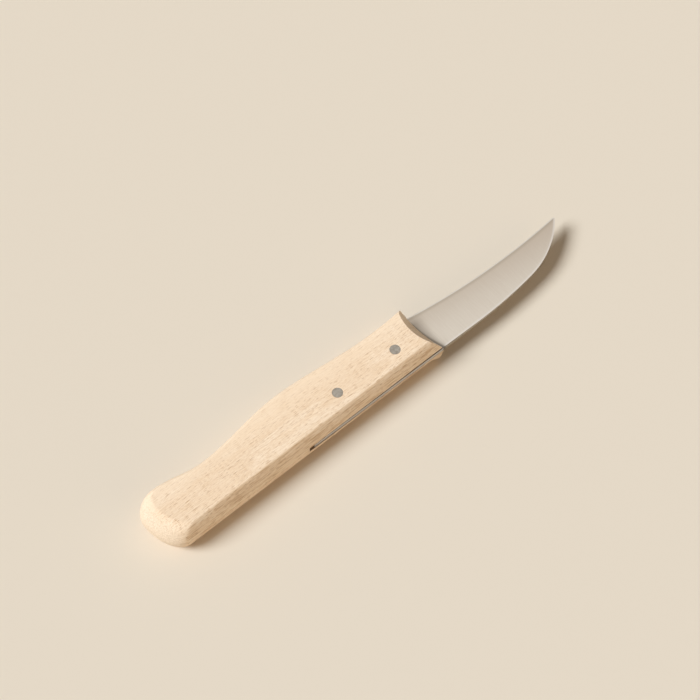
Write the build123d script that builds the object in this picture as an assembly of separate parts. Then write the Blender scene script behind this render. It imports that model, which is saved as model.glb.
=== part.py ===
from build123d import *

import os
from math import sqrt

# A small turning knife with a one-piece beech handle, lying on its side.
# While it is built, X runs along the knife towards the tip and is 0 at the handle's nose,
# Y runs from the handle's straight back (0) towards the belly and the cutting edge,
# and Z is 0 on the handle's middle plane. All sizes are millimetres.

# Handle, with the places along its belly as shares of its length
handle_length = 107.9
handle_thickness = 12.6
swell_width = 20.15
neck_width = 17.0
shoulder_width = 19.45
waist_share = 0.148
swell_share = 0.477
neck_share = 0.769
shoulder_share = 0.927
butt_corner_height = 6.8
back_corner_length = 7.0
back_drop = 0.45

# How far the sides and the butt draw in towards the two flat faces: a crown over the
# whole thickness, and a rounded arris that bites only close to the face
side_crown = 2.0
side_arris = 0.3
side_arris_power = 14
butt_crown = 2.4
butt_arris = 2.4
butt_arris_power = 8
height_shares = [0.0, 0.4, 0.7, 0.85, 0.94, 1.0]

# The lower back edge was left full just behind the nose, where the sanding stopped short:
# this share of the side's inset is missing there, so a share over 1 flares out
nose_fullness_length = 4.5
lower_nose_fullness_share = 1.3

# Hollow bevels at the nose, one on each side of the blade, the lower one ground less deep.
# Each is deepest at its centre and runs out by its hollow at half a nose width from there
upper_bevel_depth = 5.7
lower_bevel_depth = 4.3
bevel_depth_at_middle = 1.35
bevel_hollow_at_face = 2.95
bevel_hollow_at_middle = 0.72
bevel_centre_at_face = 10.6
bevel_centre_at_middle = 14.25

# Blade, with its places measured forward from the handle's nose
blade_thickness = 1.5
edge_lowest_place = 37.0
edge_width = 12.4
edge_radius = 240.0
edge_thickness = 0.05
edge_bevel_width = 0.45
ground_thickness = 0.25
spine_bend_place = 16.0
nose_bend_place = 39.1
nose_bend_drop = 1.75
tip_place = 59.45
tip_radius = 0.45
heel_set_back = 3.0

# Tang, and the saw kerf that takes it: a plunge cut from the back, open at the nose,
# with walls of wood left on its belly side at the nose and at the waist behind it
tang_width = 14.0
tang_end_gap = 1.5
kerf_clearance = 0.5
kerf_floor_clearance = 0.27
kerf_length = 54.0
saw_radius = 40.0
nose_wall = 2.5
waist_wall = 1.7

# Rivets, in a row along the middle of the tang
rivet_diameter = 3.5
front_rivet_place = 13.8
rear_rivet_from_kerf_end = 17.0
tang_hole_clearance = 0.1

# One overrun serves every cut
overrun = 2.0


def edge_height(place):
    """How far the hollow cutting edge lies from the back, at a place along the blade."""
    return edge_width + edge_radius - sqrt(edge_radius**2 - (place - edge_lowest_place) ** 2)


half_thickness = handle_thickness / 2
heel = (-heel_set_back, edge_height(-heel_set_back))
kerf_width = blade_thickness + kerf_clearance
kerf_depth = heel[1] + kerf_floor_clearance
nose_width = kerf_depth + nose_wall
waist_width = kerf_depth + waist_wall
saw_centre_y = kerf_depth - saw_radius
saw_centre_x = sqrt(saw_radius**2 - saw_centre_y**2) - kerf_length
rear_rivet_place = kerf_length - rear_rivet_from_kerf_end


def handle_outline(level):
    """Plan outline of the handle at a level, from -1 on the lower face to 1 on the upper one."""
    height_share = abs(level)
    fullness = lower_nose_fullness_share if level < 0 else 0
    side_inset = side_crown * height_share**2 + side_arris * height_share**side_arris_power
    butt_inset = butt_crown * height_share**2 + butt_arris * height_share**butt_arris_power
    butt = butt_inset - handle_length
    corner_y = shoulder_width - butt_corner_height
    front_belly = (overrun, nose_width - side_inset)
    nose = (0, nose_width - side_inset)
    waist = (-waist_share * handle_length, waist_width - side_inset)
    swell = (-swell_share * handle_length, swell_width - side_inset)
    neck = (-neck_share * handle_length, neck_width - side_inset)
    shoulder = (-shoulder_share * handle_length, shoulder_width - side_inset)
    back_end = (butt + back_corner_length, side_inset - back_drop)
    full_start = (-nose_fullness_length, side_inset)
    full_turn = (-nose_fullness_length / 2, side_inset)
    full_end = (0, (1 - fullness) * side_inset)
    front_back = (overrun, full_end[1])
    belly_corner = (shoulder[0] - butt, shoulder[1] - corner_y)
    back_corner = (back_corner_length, corner_y - back_end[1])
    flare = (waist[0], 2 * (waist[1] - nose[1]))
    line = Line(front_belly, nose)
    line += Spline(nose, waist, swell, neck, shoulder, tangents=[flare] + [(-1, 0)] * 4)
    line += EllipticalCenterArc((shoulder[0], corner_y), *belly_corner, 90, arc_size=90)
    line += EllipticalCenterArc((back_end[0], corner_y), *back_corner, 180, arc_size=90)
    line += Line(back_end, full_start) + Bezier(full_start, full_turn, full_end)
    line += Polyline(full_end, front_back, front_belly)
    return make_face(line)


def handle_blank():
    """The wood before its cuts: two flat faces, with crowned sides all round."""
    levels = [-share for share in reversed(height_shares[1:])] + height_shares
    return loft([Pos(Z=level * half_thickness) * handle_outline(level) for level in levels])


def bevel_section(depth_at_face, height):
    """What a nose bevel takes away at a height above the middle plane."""
    share = height / half_thickness
    depth = bevel_depth_at_middle + (depth_at_face - bevel_depth_at_middle) * share
    hollow = bevel_hollow_at_middle + (bevel_hollow_at_face - bevel_hollow_at_middle) * share
    centre = bevel_centre_at_middle + (bevel_centre_at_face - bevel_centre_at_middle) * share
    low, high = -overrun, nose_width + overrun
    front = 2 * overrun
    low_x = hollow * ((low - centre) / (nose_width / 2)) ** 2 - depth
    high_x = hollow * ((high - centre) / (nose_width / 2)) ** 2 - depth
    line = ThreePointArc((low_x, low), (-depth, centre), (high_x, high))
    line += Polyline((high_x, high), (front, high), (front, low), (low_x, low))
    return Pos(Z=height) * make_face(line)


def nose_bevel(depth_at_face):
    """The wood that a bevel of this depth takes away above the middle plane."""
    heights = (0, half_thickness + overrun)
    return loft([bevel_section(depth_at_face, height) for height in heights], ruled=True)


def kerf():
    """The saw's plunge cut, whose rear end is an arc of the saw itself."""
    length = 2 * overrun - saw_centre_x
    slot = Rectangle(length, kerf_depth + overrun, align=(Align.MIN, Align.MAX))
    area = Pos(saw_centre_x, kerf_depth) * slot + Pos(saw_centre_x, saw_centre_y) * Circle(saw_radius)
    return extrude(area, kerf_width / 2, both=True)


def rivet(place, diameter):
    """A plain pin right through the handle, ground flush on both faces."""
    return Pos(-place, tang_width / 2) * Cylinder(diameter / 2, handle_thickness)


def make_handle():
    """One piece of beech, bevelled at the nose, sawn for the tang and bored."""
    wood = handle_blank() - kerf()
    wood -= nose_bevel(upper_bevel_depth)
    wood -= mirror(nose_bevel(lower_bevel_depth), Plane.XY)
    for place in (front_rivet_place, rear_rivet_place):
        wood -= rivet(place, rivet_diameter)
    return wood


def blade_outline():
    """Exposed blade seen from the side: hollow edge, spine swept up to the tip."""
    tip = (tip_place, edge_height(tip_place))
    spine_start = (-heel_set_back, 0)
    spine_bend = (spine_bend_place, 0)
    nose_bend = (nose_bend_place, nose_bend_drop)
    sweep = TangentArc(spine_bend, nose_bend, tangent=(1, 0))
    nose = TangentArc(nose_bend, tip, tangent=sweep % 1)
    edge = ThreePointArc(tip, (edge_lowest_place, edge_width), heel)
    outline = Line(spine_start, spine_bend) + sweep + nose + edge + Line(heel, spine_start)
    area = make_face(outline)
    return fillet(area.vertices().sort_by(Axis.X)[-1], tip_radius)


def ground_stock():
    """Steel as one great wheel grinds it: keen along the cutting edge, full at the spine."""
    spine = blade_thickness / 2
    keen = edge_thickness / 2
    half = [
        (edge_radius - overrun, keen),
        (edge_radius, keen),
        (edge_radius + edge_bevel_width, ground_thickness / 2),
        (edge_radius + heel[1], spine),
        (edge_radius + heel[1] + overrun, spine),
    ]
    other = [(x, -z) for x, z in reversed(half)]
    profile = make_face(Polyline(*[(x, 0, z) for x, z in half + other], close=True))
    return Pos(edge_lowest_place, edge_width + edge_radius) * revolve(profile, Axis.Z)


def tang():
    """The half-length tang, full thickness, rounded behind to clear the kerf's end."""
    strip = Rectangle(kerf_length - heel_set_back, tang_width, align=(Align.MAX, Align.MIN))
    front = Rectangle(-heel_set_back - saw_centre_x, tang_width, align=(Align.MIN, Align.MIN))
    end = Pos(saw_centre_x, saw_centre_y) * Circle(saw_radius - tang_end_gap)
    area = (Pos(-heel_set_back) * strip & end) + Pos(saw_centre_x) * front
    return extrude(area, blade_thickness / 2, both=True)


def make_blade():
    """Ground blade and tang in one piece of steel, held by the rivets in the kerf's middle."""
    steel = extrude(blade_outline(), blade_thickness, both=True) & ground_stock()
    steel += tang()
    for place in (front_rivet_place, rear_rivet_place):
        steel -= rivet(place, rivet_diameter + tang_hole_clearance)
    return steel


pieces = {
    "handle": make_handle(),
    "blade": make_blade(),
    "front_rivet": rivet(front_rivet_place, rivet_diameter),
    "rear_rivet": rivet(rear_rivet_place, rivet_diameter),
}

# The finished knife rests on one flat face of its handle, centred over the origin
whole = Compound(children=[piece.solid() for piece in pieces.values()]).bounding_box()
settle = Pos(-whole.center().X, -whole.center().Y, -whole.min.Z)

os.makedirs("parts", exist_ok=True)
for name, piece in pieces.items():
    export_step(settle * piece.solid(), f"parts/{name}.step")
    print(name, "has", len(piece.solids()), "solid")
print("The handle's nose stands at", settle.position)
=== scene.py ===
# %% [markdown]
# # A turning knife of beech and steel
#
# The real object is a short kitchen knife for turning vegetables: one piece of pale beech,
# one thin blade with a hollow cutting edge, and two pins through both. The construction comes
# packed from a CAD model in metres, lying on one flat side of its handle. These cells dress
# that model: each piece gets eased edges and a finish of its own, under plain studio light.

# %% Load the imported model
import math

import bmesh
import bpy
from mathutils import Matrix, Vector


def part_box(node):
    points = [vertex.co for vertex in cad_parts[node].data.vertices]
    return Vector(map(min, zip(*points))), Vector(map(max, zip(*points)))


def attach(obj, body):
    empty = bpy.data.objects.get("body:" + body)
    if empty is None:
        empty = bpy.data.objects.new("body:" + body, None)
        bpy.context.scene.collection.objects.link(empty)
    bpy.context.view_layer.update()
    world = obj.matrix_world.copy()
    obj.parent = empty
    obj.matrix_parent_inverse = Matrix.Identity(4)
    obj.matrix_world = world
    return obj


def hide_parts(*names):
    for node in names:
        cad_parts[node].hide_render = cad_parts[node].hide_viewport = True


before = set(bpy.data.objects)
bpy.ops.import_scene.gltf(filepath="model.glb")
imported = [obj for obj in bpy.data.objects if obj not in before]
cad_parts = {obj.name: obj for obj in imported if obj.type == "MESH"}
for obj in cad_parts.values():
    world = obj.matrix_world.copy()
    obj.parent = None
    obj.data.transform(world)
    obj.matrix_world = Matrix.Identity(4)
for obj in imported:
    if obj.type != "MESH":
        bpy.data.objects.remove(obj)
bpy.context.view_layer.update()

mm = 0.001
scene = bpy.context.scene
print("nodes:", sorted(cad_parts))

# %% [markdown]
# ## Where the pieces are
#
# A finish or an eased edge has to land on the piece that it belongs to. Its place could be
# typed in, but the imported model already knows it, so every place below is read from the box
# of a node: the handle's middle plane, its nose, and the axes of the two pins. The saw kerf
# has no box of its own, but its walls stand a known gap from the blade's two sides.

# %% Read the places
handle_low, handle_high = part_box("handle")
blade_low, blade_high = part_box("blade")
middle_z = (handle_low.z + handle_high.z) / 2
back_y = blade_low.y
nose_x = handle_high.x
thickness = handle_high.z - handle_low.z
kerf_gap = 0.25 * mm
kerf_walls = (blade_low.z - kerf_gap, blade_high.z + kerf_gap)
pin_axes = {}
for node in ("front_rivet", "rear_rivet"):
    low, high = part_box(node)
    pin_axes[node] = (low + high) / 2
pin_radius = (high.x - low.x) / 2
print("nose at", round(nose_x / mm, 2), "mm, pins", round(2 * pin_radius / mm, 2), "mm across")

# %% [markdown]
# ## The camera
#
# The photograph looks down at the knife from 61 degrees above the table, from beyond the butt
# on the back's side. A camera can be aimed with a constraint or by its angles. Plain angles
# are used, because they say the view directly: tilt from straight down, then turn about
# the vertical. A long lens from three quarters of a metre gives the photograph's flat look.

# %% Aim the camera
view_centre = Vector((handle_low.x + 85.66 * mm, back_y + 18.5 * mm, middle_z))
view_distance = 762.4 * mm
view_elevation = math.radians(61)
view_turn = math.radians(-40.37)

camera_data = bpy.data.cameras.new("view")
camera_data.sensor_width = 36
camera_data.lens = 126.25
camera_data.clip_start = 0.05
camera_data.clip_end = 40
camera = bpy.data.objects.new("view", camera_data)
scene.collection.objects.link(camera)
turned = Matrix.Rotation(view_turn, 3, "Z") @ Matrix.Rotation(math.pi / 2 - view_elevation, 3, "X")
camera.rotation_euler = turned.to_euler()
camera.location = view_centre + turned @ Vector((0, 0, view_distance))
scene.camera = camera
print("camera at", [round(value, 3) for value in camera.location])

# %% [markdown]
# ## Shader arithmetic
#
# A finish is a network of nodes, and a network written node by node is hard to read. One small
# class wraps an output socket, so that ordinary Python arithmetic on it adds Math nodes. All
# other nodes come from one method that takes a type, its settings and what feeds its sockets.


# %% Wrap sockets and materials
class Field:
    """A value that varies over a surface; arithmetic on it adds Math nodes."""

    def __init__(self, finish, socket):
        self.finish = finish
        self.socket = socket

    def math(self, operation, *values):
        settings = {"operation": operation}
        return self.finish.node("ShaderNodeMath", settings, dict(enumerate(values)))

    def __add__(self, other):
        return self.math("ADD", self, other)

    def __radd__(self, other):
        return self.math("ADD", other, self)

    def __sub__(self, other):
        return self.math("SUBTRACT", self, other)

    def __rsub__(self, other):
        return self.math("SUBTRACT", other, self)

    def __mul__(self, other):
        return self.math("MULTIPLY", self, other)

    def __rmul__(self, other):
        return self.math("MULTIPLY", other, self)

    def __truediv__(self, other):
        return self.math("DIVIDE", self, other)

    def __pow__(self, other):
        return self.math("POWER", self, other)

    def __abs__(self):
        return self.math("ABSOLUTE", self)

    def least(self, other):
        return self.math("MINIMUM", self, other)

    def most(self, other):
        return self.math("MAXIMUM", self, other)

    def beside(self, output):
        """Another output of the same node."""
        return Field(self.finish, self.socket.node.outputs[output])

    def ramp(self, start, end):
        """0 below start and 1 above end, with a smooth rise between them."""
        settings = {"interpolation_type": "SMOOTHSTEP"}
        sockets = {"Value": self, "From Min": start, "From Max": end}
        return self.finish.node("ShaderNodeMapRange", settings, sockets)


class Finish:
    """A node material under construction."""

    def __init__(self, name, **constants):
        self.material = bpy.data.materials.new(name)
        self.material.use_nodes = True
        self.tree = self.material.node_tree
        self.shader = self.tree.nodes["Principled BSDF"]
        for socket, value in constants.items():
            self.shader.inputs[socket.replace("_", " ")].default_value = value

    def feed(self, socket, value):
        if isinstance(value, Field):
            self.tree.links.new(value.socket, socket)
        else:
            socket.default_value = value

    def node(self, kind, settings=None, sockets=None, output=0):
        made = self.tree.nodes.new(kind)
        for name, value in (settings or {}).items():
            setattr(made, name, value)
        for name, value in (sockets or {}).items():
            self.feed(made.inputs[name], value)
        return Field(self, made.outputs[output])

    def surface(self, **sockets):
        for name, value in sockets.items():
            self.feed(self.shader.inputs[name.replace("_", " ")], value)

    def place(self, per_mm=(1, 1, 1), turn=(0, 0, 0)):
        """The point on the piece, in millimetres times these scales, turned if asked."""
        at = self.node("ShaderNodeTexCoord", output="Object")
        scale = [value / mm for value in per_mm]
        sockets = {"Vector": at, "Scale": scale, "Rotation": turn}
        return self.node("ShaderNodeMapping", {"vector_type": "POINT"}, sockets)

    def axes(self, output="Object"):
        """The three parts of the point, in metres, or of the normal."""
        at = self.node("ShaderNodeTexCoord", output=output)
        x = self.node("ShaderNodeSeparateXYZ", None, {0: at}, "X")
        return x, x.beside("Y"), x.beside("Z")

    def noise(self, at, detail=2, roughness=0.5, output="Fac"):
        sockets = {"Vector": at, "Scale": 1, "Detail": detail, "Roughness": roughness}
        return self.node("ShaderNodeTexNoise", None, sockets, output)

    def blend(self, amount, first, second):
        """A colour between two others."""
        sockets = {0: amount, 6: first, 7: second}
        settings = {"data_type": "RGBA", "clamp_factor": True}
        return self.node("ShaderNodeMix", settings, sockets, 2)


def shown(red, green, blue):
    """The scene colour that is shown as these display values of 0 to 255."""
    values = [value / 255 for value in (red, green, blue)]
    return (*[v / 12.92 if v <= 0.04045 else ((v + 0.055) / 1.055) ** 2.4 for v in values], 1)


print("helpers ready")

# %% [markdown]
# ## Light and floor
#
# The photograph was lit by one large soft lamp beyond the butt end, at about 45 degrees, with
# pale surroundings that fill the shadows. A wide sun gives that lamp: its light is the same
# all over the floor, and its width sets how fast the shadow softens. A weak second one, low
# and on the back's side, is the wall there, which lights the handle's back. A pale sky does
# the rest. Wall and sky are warm, which warms the shadows, and the lamp is cooler by as much,
# so the three together bring a white surface to plain white. Gloss doesn't mirror the lamps,
# only a pale room that is brightest overhead, so no view of the blade is burnt out.

# %% Set up light and floor
sky_share = 0.2
wall_share = 0.06
warmth = (1.0, 0.85, 0.7)
wall_warmth = (1.0, 0.8, 0.55)
sky_light = [sky_share * tint for tint in warmth]
wall_light = [wall_share * tint for tint in wall_warmth]
lamp_light = [1 - sky - wall for sky, wall in zip(sky_light, wall_light)]


def soft_lamp(name, azimuth, elevation, width, light):
    """A sun at these angles in degrees that gives a white floor this light."""
    data = bpy.data.lights.new(name, "SUN")
    data.angle = math.radians(width)
    data.energy = max(light) * math.pi / math.sin(math.radians(elevation))
    data.color = [value / max(light) for value in light]
    lamp = bpy.data.objects.new(name, data)
    lamp.rotation_euler = (0, math.radians(90 - elevation), math.radians(azimuth))
    lamp.visible_glossy = False
    scene.collection.objects.link(lamp)
    print(name, "energy", round(data.energy, 2))


soft_lamp("window", azimuth=158, elevation=45, width=28, light=lamp_light)
soft_lamp("warm_wall", azimuth=285, elevation=22, width=50, light=wall_light)

world = bpy.data.worlds.new("room")
world.use_nodes = True
scene.world = world
nodes = world.node_tree.nodes
links = world.node_tree.links


def room_light(colour, strength):
    """An even light from all round."""
    shader = nodes.new("ShaderNodeBackground")
    shader.inputs["Color"].default_value = (*colour, 1)
    shader.inputs["Strength"].default_value = strength
    return shader


def seen_by(ray, others, shader):
    """The other light, but this shader for one kind of ray."""
    choice = nodes.new("ShaderNodeMixShader")
    links.new(rays.outputs[ray], choice.inputs[0])
    links.new(others.outputs[0], choice.inputs[1])
    links.new(shader.outputs[0], choice.inputs[2])
    return choice


rays = nodes.new("ShaderNodeLightPath")
height = nodes.new("ShaderNodeSeparateXYZ")
links.new(nodes.new("ShaderNodeTexCoord").outputs["Generated"], height.inputs[0])
brightness = nodes.new("ShaderNodeMapRange")
room_low, room_high = 0.5, 1.0
brightness.inputs["To Min"].default_value = room_low
brightness.inputs["To Max"].default_value = room_high
links.new(height.outputs["Z"], brightness.inputs["Value"])
in_metal = room_light((1, 1, 1), 1)
links.new(brightness.outputs[0], in_metal.inputs["Strength"])
reflected = seen_by("Is Glossy Ray", room_light(warmth, sky_share), in_metal)
backdrop = seen_by("Is Camera Ray", reflected, room_light((1, 1, 1), 0.9))
links.new(backdrop.outputs[0], nodes["World Output"].inputs["Surface"])

floor_reach = 12
floor_gap = 0.02 * mm
floor_mesh = bmesh.new()
bmesh.ops.create_grid(floor_mesh, x_segments=1, y_segments=1, size=floor_reach)
bmesh.ops.translate(floor_mesh, verts=floor_mesh.verts, vec=(0, 0, -floor_gap))
floor_data = bpy.data.meshes.new("floor")
floor_mesh.to_mesh(floor_data)
floor_mesh.free()
floor = bpy.data.objects.new("floor", floor_data)
scene.collection.objects.link(floor)
cloth = Finish("pale_table", Roughness=0.9, Base_Color=shown(229, 217, 199))
floor_data.materials.append(cloth.material)

# %% [markdown]
# ## Beech
#
# Beech is pale and even. Its mark is short dark flecks, one to three millimetres long and
# finer than a pencil line, which are rays cut across. Between them run faint growth rings and
# fibres along the handle. A picture of wood would smear round the butt, so the grain is
# solid: every pattern reads the point in space, and each cut shows the grain that it meets.
# The butt shows speckled end grain. The belly side, which faces the lamp, gets painted light,
# the nose bevels get painted light too, and the inside of the kerf gets painted shade. That
# inside is found from the plunge's circle, seen from the side.


# %% Make the beech
saw_radius = 40 * mm
saw_centre = (nose_x - 21.98 * mm, back_y - 23.97 * mm)


def beech_finish():
    wood = Finish("beech", Specular_IOR_Level=0.35)
    at = wood.place((0.012, 0.06, 0.06))
    drift = wood.noise(at, detail=1, output="Color")
    sockets = {0: drift, 1: (0.0, 2.4, 2.4), 2: wood.place()}
    grain = wood.node("ShaderNodeVectorMath", {"operation": "MULTIPLY_ADD"}, sockets)

    def along(scales):
        """The wavy grain's point in millimetres, times these scales."""
        sockets = {"Vector": grain, "Scale": scales}
        return wood.node("ShaderNodeMapping", {"vector_type": "POINT"}, sockets)

    rings = wood.node(
        "ShaderNodeTexWave",
        {"wave_type": "BANDS", "bands_direction": "Z", "wave_profile": "SAW"},
        {"Vector": along((0.004, 0.03, 0.16)), "Scale": 1, "Distortion": 0.6, "Detail": 2},
        "Fac",
    )
    facing_x, facing_y, _ = wood.axes("Normal")
    on_side = (facing_y ** 2).ramp(0.2, 0.8)
    on_back = (0 - facing_y).ramp(0.45, 0.9)
    on_butt = (0 - facing_x).ramp(0.15, 0.8)
    on_nose = facing_x.ramp(0.2, 0.7)

    def fibres(on_flat, across_side):
        """Noise along the grain, kept long on the sides, which cut the fibres at a slant."""
        first = wood.noise(along(on_flat), detail=2, roughness=0.6)
        second = wood.noise(along(across_side), detail=2, roughness=0.6)
        return first + (second - first) * on_side

    threads = fibres((0.15, 4.6, 1.9), (0.13, 0.7, 1.9))
    grains = fibres((1.1, 5.6, 2.8), (0.6, 1.2, 3.2))
    speckles = wood.noise(wood.place((2.4, 2.4, 2.4)), detail=2)
    bands = wood.noise(along((0.02, 0.42, 0.5)), detail=2)

    def flecks(cell, share, size):
        """Spots along the grain, in this share of the cells."""
        spots = wood.node(
            "ShaderNodeTexVoronoi",
            {"feature": "F1"},
            {"Vector": along(cell), "Scale": 1, "Randomness": 1},
            "Distance",
        )
        lot = wood.node("ShaderNodeSeparateColor", None, {0: spots.beside("Color")})
        strength = lot.ramp(1 - share, 1)
        return (1 - spots.ramp(size * 0.3, size)) * strength

    long_flecks = flecks((0.3, 3.3, 2.4), 0.38, 0.46)
    short_flecks = flecks((0.6, 4.4, 3.0), 0.48, 0.46)
    pores = wood.noise(along((0.9, 11.0, 9.0)), detail=1).ramp(0.6, 0.8)
    x, y, z = wood.axes()
    to_belly = ((y - back_y) / mm).ramp(8, 17)
    from_saw = ((x.least(saw_centre[0]) - saw_centre[0]) ** 2 + (y - saw_centre[1]) ** 2) ** 0.5
    in_plan = 1 - ((from_saw - saw_radius) / mm).ramp(0.02, 0.12)
    past_walls = (abs(z - middle_z) - (kerf_walls[1] - middle_z)) / mm
    in_kerf = in_plan * (1 - past_walls.ramp(0, 0.12))

    pale = shown(255, 234, 208)
    warm = shown(252, 226, 194)
    lit_belly = shown(255, 231, 201)
    ring_brown = shown(230, 192, 150)
    fibre_brown = shown(229, 196, 158)
    fleck_brown = shown(190, 148, 105)
    end_pale = shown(238, 218, 194)
    end_brown = shown(216, 194, 166)
    kerf_shade = shown(120, 92, 64)
    colour = wood.blend(bands.ramp(0.3, 0.75) * 0.55, pale, warm)
    colour = wood.blend(rings.ramp(0.45, 1.0) * 0.16, colour, ring_brown)
    colour = wood.blend((threads * 0.5 + grains * 0.5).ramp(0.38, 0.64) * 0.74, colour, fibre_brown)
    colour = wood.blend(threads.ramp(0.5, 0.68) * on_back * 0.42, colour, fleck_brown)
    colour = wood.blend(pores * 0.2, colour, fleck_brown)
    colour = wood.blend(short_flecks * 0.76, colour, fleck_brown)
    colour = wood.blend(long_flecks * 0.86, colour, fleck_brown)
    # Painted light: the belly side, which faces the lamp, is paler.
    colour = wood.blend(to_belly * 0.55, colour, lit_belly)
    end_grain = wood.blend(speckles.ramp(0.35, 0.65), end_pale, end_brown)
    colour = wood.blend(on_butt * 0.75, colour, end_grain)
    # Painted light: the nose bevels are paler, standing in for light that the blade throws up onto
    # them.
    colour = wood.blend(on_nose * 0.6, colour, pale)
    # Painted shade inside the saw kerf.
    colour = wood.blend(in_kerf * 0.65, colour, kerf_shade)

    height = threads + grains - pores * 0.3 - long_flecks * 0.5
    sockets = {"Height": height, "Strength": 0.4, "Distance": 0.03 * mm}
    bump = wood.node("ShaderNodeBump", None, sockets)
    wood.surface(Base_Color=colour, Roughness=0.52 + threads * 0.16, Normal=bump)
    return wood.material


beech = beech_finish()
print("beech has", len(beech.node_tree.nodes), "nodes")

# %% [markdown]
# ## Ground steel
#
# The blade was ground across its width on a fine wheel, which leaves hair lines and a soft
# gloss. Anisotropic shading could stretch the highlights, but it needs a direction on
# every face. Fine lines in bump and roughness do the same and look right on any cut of it.
# A satin face also scatters some light, so the steel is a little less than fully metallic.
#
# Colour carries the rest, much of it painted light: a painted reflection, lighter by the spine
# and darker towards the edge and tip, a darker line and a painted highlight along the cutting
# edge, a painted highlight along the spine, painted shade on its flank, and painted shade with
# a painted shadow of the handle where the steel goes into the wood. Each line is found by its
# distance from a curve: the circles of the blade's outline, or the hollow mouth of the wood.


# %% Make the steel
edge_radius = 240 * mm
edge_centre = (nose_x + 37 * mm, back_y + 252.4 * mm)
sweep_radius = 153.34 * mm
sweep_centre = (nose_x + 16 * mm, back_y + sweep_radius)
nose_radius = 32.41 * mm
nose_centre = (nose_x + 34.21 * mm, back_y + 33.79 * mm)
bend_x = nose_x + 39.1 * mm
mouth_x = nose_x - 2.04 * mm
mouth_hollow = 1.07 * mm
mouth_centre_y = back_y + 13.67 * mm
mouth_half_width = 9.27 * mm
blade_length = blade_high.x - nose_x
blade_width = 15 * mm


def steel_finish():
    steel = Finish("ground_steel", Metallic=0.72)
    lines = steel.noise(steel.place((9.0, 0.16, 0.5), (0, 0, 0.06)), detail=4, roughness=0.65)
    strokes = steel.noise(steel.place((1.6, 0.05, 0.3), (0, 0, 0.1)), detail=2)
    cloud = steel.noise(steel.place((0.05, 0.09, 0.09)), detail=2)
    x, y, z = steel.axes()

    def from_point(x, y, point):
        return ((x - point[0]) ** 2 + (y - point[1]) ** 2) ** 0.5 / mm

    from_edge = from_point(x, y, edge_centre) - edge_radius / mm
    sweep = sweep_radius / mm - from_point(x.most(sweep_centre[0]), y, sweep_centre)
    nose = nose_radius / mm - from_point(x, y, nose_centre)
    past_bend = x.math("GREATER_THAN", x, bend_x)
    from_spine = sweep + (nose - sweep) * past_bend
    across = (y - mouth_centre_y) / mouth_half_width
    from_wood = (x - mouth_x - across * across * mouth_hollow) / mm
    on_rim = (abs(z - middle_z) / mm).ramp(0.6, 0.72)
    on_face = (steel.axes("Normal")[2] ** 2).ramp(0.5, 0.9)
    in_wood = 1 - from_wood.ramp(-0.6, 0)
    to_tip = (x - nose_x) / blade_length
    to_edge = (y - back_y) / blade_width

    bright = shown(227, 217, 202)
    dark_steel = shown(197, 181, 163)
    edge_dark = shown(172, 158, 138)
    flank_shade = shown(140, 126, 108)
    edge_highlight = shown(236, 230, 220)
    spine_highlight = shown(240, 234, 226)
    painted_shade = shown(92, 78, 60)
    edge_grey = shown(214, 210, 208)
    # Painted reflection: lighter by the spine and heel, darker towards the cutting edge and the
    # tip.
    colour = steel.blend((to_edge * 0.65 + to_tip * 0.35).ramp(0.1, 1.0), bright, dark_steel)
    colour = steel.blend(lines.ramp(0.3, 0.7) * 0.28 + strokes * 0.2, colour, dark_steel)
    # A darker line behind the cutting edge.
    colour = steel.blend((1 - from_edge.ramp(0.5, 1.7)) * 0.5, colour, edge_dark)
    # Painted highlight along the cutting edge.
    colour = steel.blend((1 - from_edge.ramp(0.2, 0.5)) * 0.7, colour, edge_highlight)
    # Painted highlight along the spine, on the faces that face up.
    colour = steel.blend((1 - from_spine.ramp(0.3, 0.9)) * on_face * 0.5, colour, spine_highlight)
    # Painted shade on the faces that don't face up, such as the spine's flank.
    colour = steel.blend((1 - on_face) * 0.5, colour, flank_shade)
    # Painted shade where the steel goes into the wood: a narrow dark line at the mouth and the
    # handle's soft painted shadow beyond it, both fading out near the cutting edge.
    along_mouth = 1 - to_edge.ramp(0.78, 1.0)
    broad = 1 - from_wood.ramp(0.0, to_edge * 4.5 + 1.5)
    contact = (1 - from_wood.ramp(0.0, 0.9)) * 0.4 + broad * 0.42
    colour = steel.blend(contact * along_mouth, colour, painted_shade)
    colour = steel.blend(in_wood, colour, edge_grey)
    # Painted shade on the tang's rims inside the kerf.
    colour = steel.blend(in_wood * on_rim * 0.9, colour, painted_shade)
    height = lines + strokes * 0.5
    sockets = {"Height": height, "Strength": 0.2, "Distance": 0.01 * mm}
    bump = steel.node("ShaderNodeBump", None, sockets)
    roughness = 0.24 + lines * 0.08 + cloud * 0.08
    steel.surface(Base_Color=colour, Roughness=roughness, Normal=bump)
    return steel.material


steel = steel_finish()
print("steel has", len(steel.node_tree.nodes), "nodes")

# %% [markdown]
# ## Pin metal
#
# The pins are plain aluminium, upset and ground flush with the wood, so their ends are a dull
# grey with small scratches in all directions. Two stretched noises, turned against each other,
# give the scratches, and a softer one the patchy dullness. The rim is darker, where wax and
# dust from the sanding stay in the joint.


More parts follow.
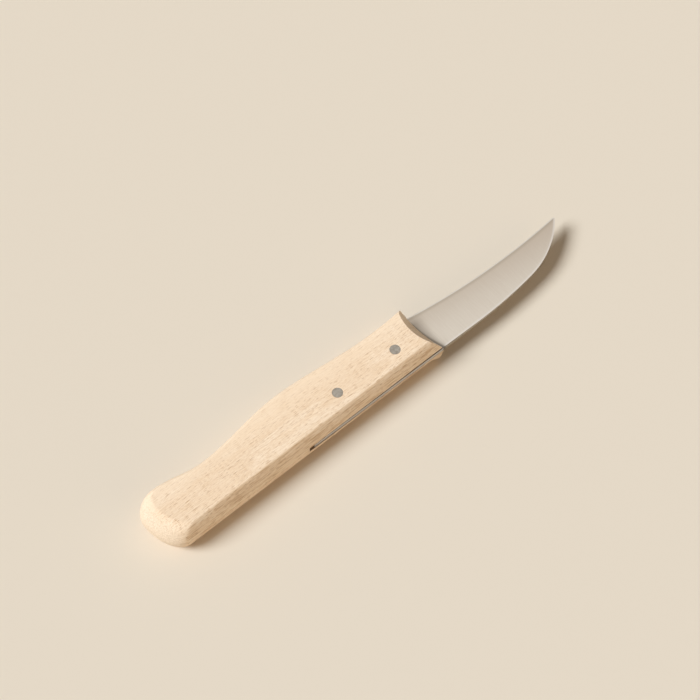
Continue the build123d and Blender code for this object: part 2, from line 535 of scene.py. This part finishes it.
# %% Make the pin metal
def pin_finish():
    metal = Finish("pin_aluminium", Metallic=1.0)
    one = metal.noise(metal.place((0.9, 14.0, 1.0), (0, 0, 0.5)), detail=3, roughness=0.6)
    other = metal.noise(metal.place((12.0, 1.1, 1.0), (0, 0, 0.2)), detail=3, roughness=0.6)
    patches = metal.noise(metal.place((1.4, 1.4, 1.4)), detail=3)
    scratches = one.ramp(0.5, 0.8) + other.ramp(0.5, 0.8)
    x, y, _ = metal.axes()
    from_axes = []
    for axis in pin_axes.values():
        from_axes.append(((x - axis.x) ** 2 + (y - axis.y) ** 2) ** 0.5 / pin_radius)
    rim = from_axes[0].least(from_axes[1]).ramp(0.72, 1.0)
    light = shown(190, 182, 170)
    dark = shown(152, 142, 128)
    colour = metal.blend(patches.ramp(0.3, 0.7) * 0.6 + scratches * 0.25, light, dark)
    colour = metal.blend(rim * 0.5, colour, dark)
    sockets = {"Height": scratches + patches, "Strength": 0.3, "Distance": 0.02 * mm}
    bump = metal.node("ShaderNodeBump", None, sockets)
    metal.surface(Base_Color=colour, Roughness=0.42 + patches * 0.14, Normal=bump)
    return metal.material


pin_metal = pin_finish()
print("pin metal has", len(pin_metal.node_tree.nodes), "nodes")

# %% [markdown]
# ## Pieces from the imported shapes
#
# The wood and the blade already have their true shape, but a real edge is never razor sharp:
# sandpaper or a wheel has eased it, and the little round catches the light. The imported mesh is
# loose triangles, so a merged copy is taken, flat areas are joined into one face, and the
# creases are bevelled in groups, because one bevel has one width and each edge its own.

# %% Copy, ease and finish a shape
crease_angle = math.radians(25)


def merged_copy(node):
    shape = bmesh.new()
    shape.from_mesh(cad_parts[node].data)
    bmesh.ops.remove_doubles(shape, verts=shape.verts, dist=0.001 * mm)
    flat = math.radians(0.2)
    bmesh.ops.dissolve_limit(shape, angle_limit=flat, verts=shape.verts, edges=shape.edges)
    return shape


def ease(shape, width, chosen, segments=2, least_angle=crease_angle):
    """Rounds the creases whose middle point the chosen test accepts."""
    creases = []
    for edge in shape.edges:
        middle = (edge.verts[0].co + edge.verts[1].co) / 2
        if edge.calc_face_angle(0) > least_angle and chosen(middle):
            creases.append(edge)
    bmesh.ops.bevel(
        shape,
        geom=creases,
        offset=width,
        offset_type="OFFSET",
        segments=segments,
        profile=0.5,
        affect="EDGES",
        material=-1,
    )
    return len(creases)


def finished_piece(name, shape, material, node):
    """A piece that stands in for a node: smooth, with its flat faces kept flat."""
    data = bpy.data.meshes.new(name)
    shape.to_mesh(data)
    shape.free()
    data.polygons.foreach_set("use_smooth", [True] * len(data.polygons))
    data.set_sharp_from_angle(angle=math.radians(40))
    data.materials.append(material)
    piece = bpy.data.objects.new(name, data)
    scene.collection.objects.link(piece)
    normals = piece.modifiers.new("flat faces stay flat", "WEIGHTED_NORMAL")
    normals.keep_sharp = True
    normals.weight = 90
    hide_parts(node)
    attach(piece, "root")
    print(name, "has", len(data.polygons), "faces")


# %% [markdown]
# ## The wooden handle
#
# One piece of beech, sanded after it was sawn and bored. The flat faces run into the sides
# over a soft arris, the two lips of the saw kerf are broken where the thumb meets them, the
# hollow bevels at the nose stay crisper, and the bores are eased a touch so that each pin sits
# in a fine dark ring. The arris is shallow in places, so it takes a smaller least angle.

# %% Finish the handle
lip_reach = 3 * mm
bevel_reach = 9 * mm
near = 0.02 * mm


def on_flat(point):
    return min(point.z - handle_low.z, handle_high.z - point.z) < near


def at_kerf(point):
    return min(abs(point.z - wall) for wall in kerf_walls) < near


def at_bore(point):
    away = min((point - axis).xy.length for axis in pin_axes.values())
    return on_flat(point) and away < pin_radius + near


def at_upper_lip(point):
    return at_kerf(point) and point.y < back_y + lip_reach and point.z > middle_z


def at_lower_lip(point):
    return at_kerf(point) and point.y < back_y + lip_reach and point.z < middle_z


def at_nose(point):
    return point.x > nose_x - bevel_reach and not at_kerf(point) and not at_bore(point)


def at_arris(point):
    return on_flat(point) and point.x < nose_x - bevel_reach and not at_bore(point)


eases = {at_bore: 0.1, at_upper_lip: 0.25, at_lower_lip: 0.35, at_nose: 0.15}
arris_ease = 0.3 * mm
arris_angle = math.radians(6)

wood_shape = merged_copy("handle")
for place, width in eases.items():
    print(place.__name__, ease(wood_shape, width * mm, place))
print("at_arris", ease(wood_shape, arris_ease, at_arris, segments=3, least_angle=arris_angle))
finished_piece("beech_handle", wood_shape, beech, "handle")

# %% [markdown]
# ## The blade
#
# Blade and tang are one piece of thin steel. Its back was ground square and then lightly
# broken along both edges, which shows as a bright line along the whole spine, together with a
# painted highlight in the steel's colour, so only those edges are eased. The cutting edge stays
# as the wheel left it.

# %% Finish the blade
cutting_side = 9 * mm
spine_depth = 0.4 * mm
spine_ease = 0.15 * mm


def at_spine(point):
    on_face = min(point.z - blade_low.z, blade_high.z - point.z) < spine_depth
    return on_face and point.x > nose_x and point.y < back_y + cutting_side


blade_shape = merged_copy("blade")
print("at_spine", ease(blade_shape, spine_ease, at_spine))
finished_piece("steel_blade", blade_shape, steel, "blade")

# %% [markdown]
# ## The pins
#
# Each pin is a plain rod that fills its bore and was ground flush at both ends. The node has
# the right shape, but a new rod with more sides and a small chamfer at each end makes the
# fine ring that shows round a ground pin.

# %% Turn the pins
rim_ease = 0.12 * mm
for node, axis in pin_axes.items():
    rod = bmesh.new()
    middle = Matrix.Translation((axis.x, axis.y, middle_z))
    bmesh.ops.create_cone(
        rod,
        cap_ends=True,
        segments=64,
        radius1=pin_radius,
        radius2=pin_radius,
        depth=thickness,
        matrix=middle,
    )
    rims = [edge for edge in rod.edges if edge.calc_face_angle(0) > crease_angle]
    bmesh.ops.bevel(
        rod,
        geom=rims,
        offset=rim_ease,
        offset_type="OFFSET",
        segments=2,
        profile=0.5,
        affect="EDGES",
        material=-1,
    )
    finished_piece(node.replace("rivet", "pin"), rod, pin_metal, node)

# %% [markdown]
# ## Finish
#
# The last step sets the Standard view transform.

# %% Set the view transform
scene.view_settings.view_transform = "Standard"
